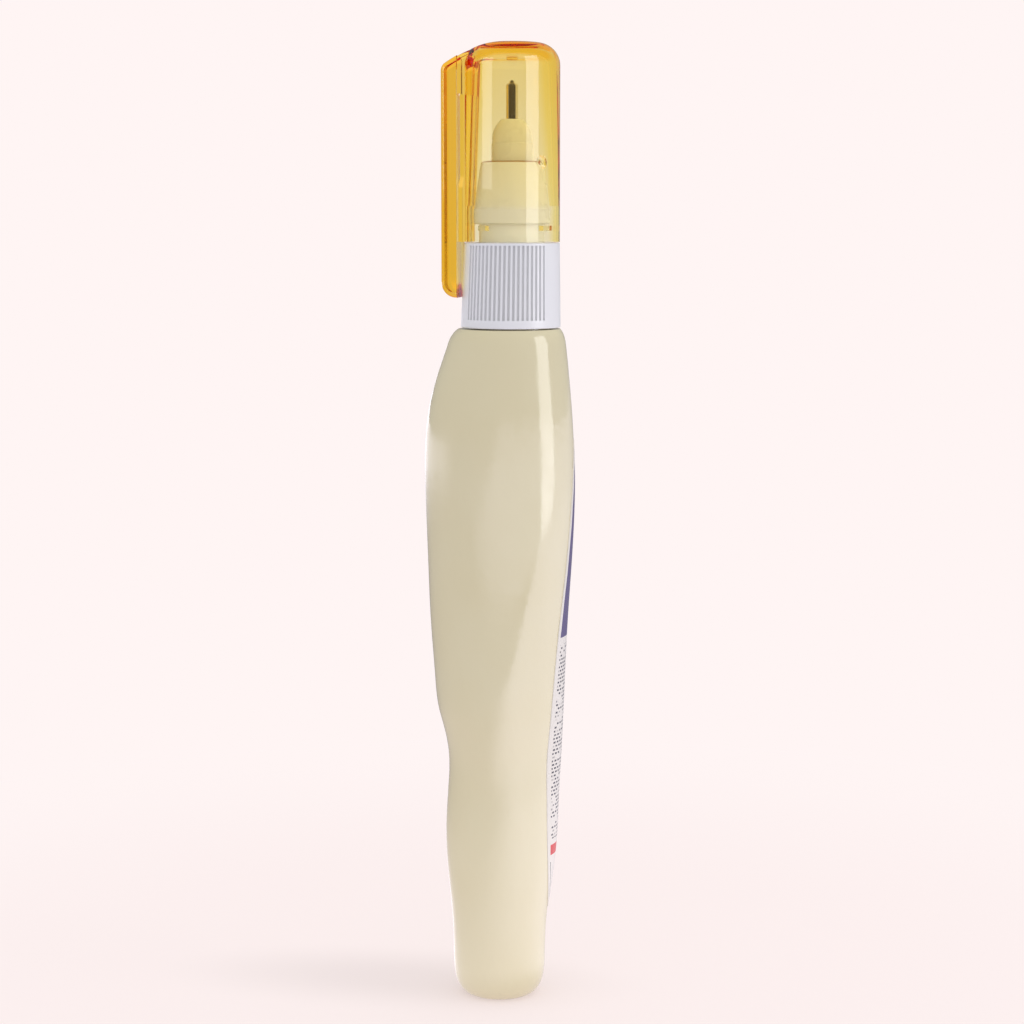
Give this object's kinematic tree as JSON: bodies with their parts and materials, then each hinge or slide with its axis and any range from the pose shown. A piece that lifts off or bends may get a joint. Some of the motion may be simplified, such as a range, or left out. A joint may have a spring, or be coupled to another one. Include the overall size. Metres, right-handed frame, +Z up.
{
  "type": "correction pen",
  "caption": "Squeezable correction fluid pen with a bulbous bottle, ribbed collar, spring valve in a metal writing tip, loose mixing ball and a clear snap cap with a pocket clip.",
  "frame": {"origin": "on the base plane that the pen stands on, on the axis of its neck, nozzle and cap", "axes": "+Z up from base to cap, -X towards the clip, +X towards the label, y = 0 is the plane of symmetry"},
  "size_m": [0.022, 0.018, 0.14],
  "materials": {
    "bottle_plastic": "smooth glossy cream blow moulding",
    "label_film": "printed film, plain panels",
    "white_plastic": "satin white injection moulding",
    "tip_steel": "polished steel",
    "spring_steel": "drawn wire",
    "ball_steel": "ground steel ball",
    "amber_plastic": "clear amber injection moulding"
  },
  "bodies": {
    "pen_body": {"bottle": "bottle_plastic", "label": "label_film", "collar": "white_plastic", "nozzle": "white_plastic", "tip_holder": "white_plastic", "tip_tube": "tip_steel", "spring_seat": "white_plastic", "valve_spring": "spring_steel"},
    "cap": {"cap": "amber_plastic"},
    "valve_pin": {"valve_pin": "tip_steel"},
    "shaker_ball": {"shaker_ball": "ball_steel"}
  },
  "joints": [
    {"name": "cap_pull", "type": "slide", "parent": "pen_body", "child": "cap", "axis": [0, 0, 1], "range_m": [0, 0.04]},
    {"name": "pin_press", "type": "slide", "parent": "pen_body", "child": "valve_pin", "axis": [0, 0, -1], "range_m": [0, 0.00045], "stiffness_N_per_m": 300, "springref_m": -0.0015, "deforming": ["valve_spring"]},
    {"name": "ball_travel", "type": "slide", "parent": "pen_body", "child": "shaker_ball", "axis": [0, 0, 1], "range_m": [0, 0.09]}
  ]
}
